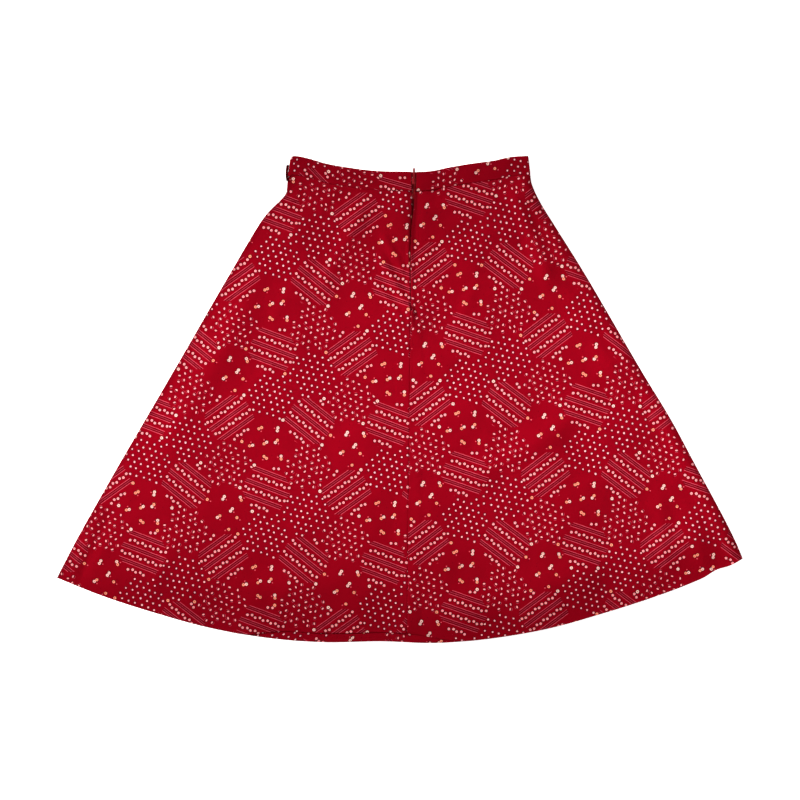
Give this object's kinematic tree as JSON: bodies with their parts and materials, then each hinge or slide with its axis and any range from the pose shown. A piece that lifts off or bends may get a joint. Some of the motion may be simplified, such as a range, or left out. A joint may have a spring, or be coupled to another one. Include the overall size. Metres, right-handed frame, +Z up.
{
  "type": "skirt",
  "caption": "A-line skirt of printed cotton, laid flat with its back upwards, with a narrow waistband, a centre-back zip, a belt loop and a turned-up hem.",
  "frame": {"origin": "middle of the skirt's outline, on the surface that it lies on", "axes": "+X towards the wearer's right, +Y towards the waist, +Z up from the surface, out of the skirt's back"},
  "size_m": [0.9039, 0.6426, 0.0069],
  "materials": {
    "printed_cotton": "matte plain-weave cotton, red ground with a small patchwork calico print",
    "waistband_cotton": "the same printed cotton over a stiffener",
    "zip_tape": "dark red woven polyester tape",
    "zip_coil": "dark red nylon coil, semi-matte",
    "enamelled_metal": "maroon enamel, satin"
  },
  "bodies": {
    "skirt": {"front": "printed_cotton", "back_left": "printed_cotton", "back_right": "printed_cotton", "waistband": "waistband_cotton", "belt_loop": "waistband_cotton", "zip_tape_left": "zip_tape", "zip_tape_right": "zip_tape", "zip_coil": "zip_coil", "zip_slider": "enamelled_metal"},
    "pull_tab": {"zip_pull_tab": "enamelled_metal"}
  },
  "joints": [
    {"name": "pull_tab_hinge", "type": "hinge", "parent": "skirt", "child": "pull_tab", "pos_m": [0.01839, 0.2874, 0.0056], "axis": [1, 0, 0], "range_deg": [0, 170]}
  ]
}
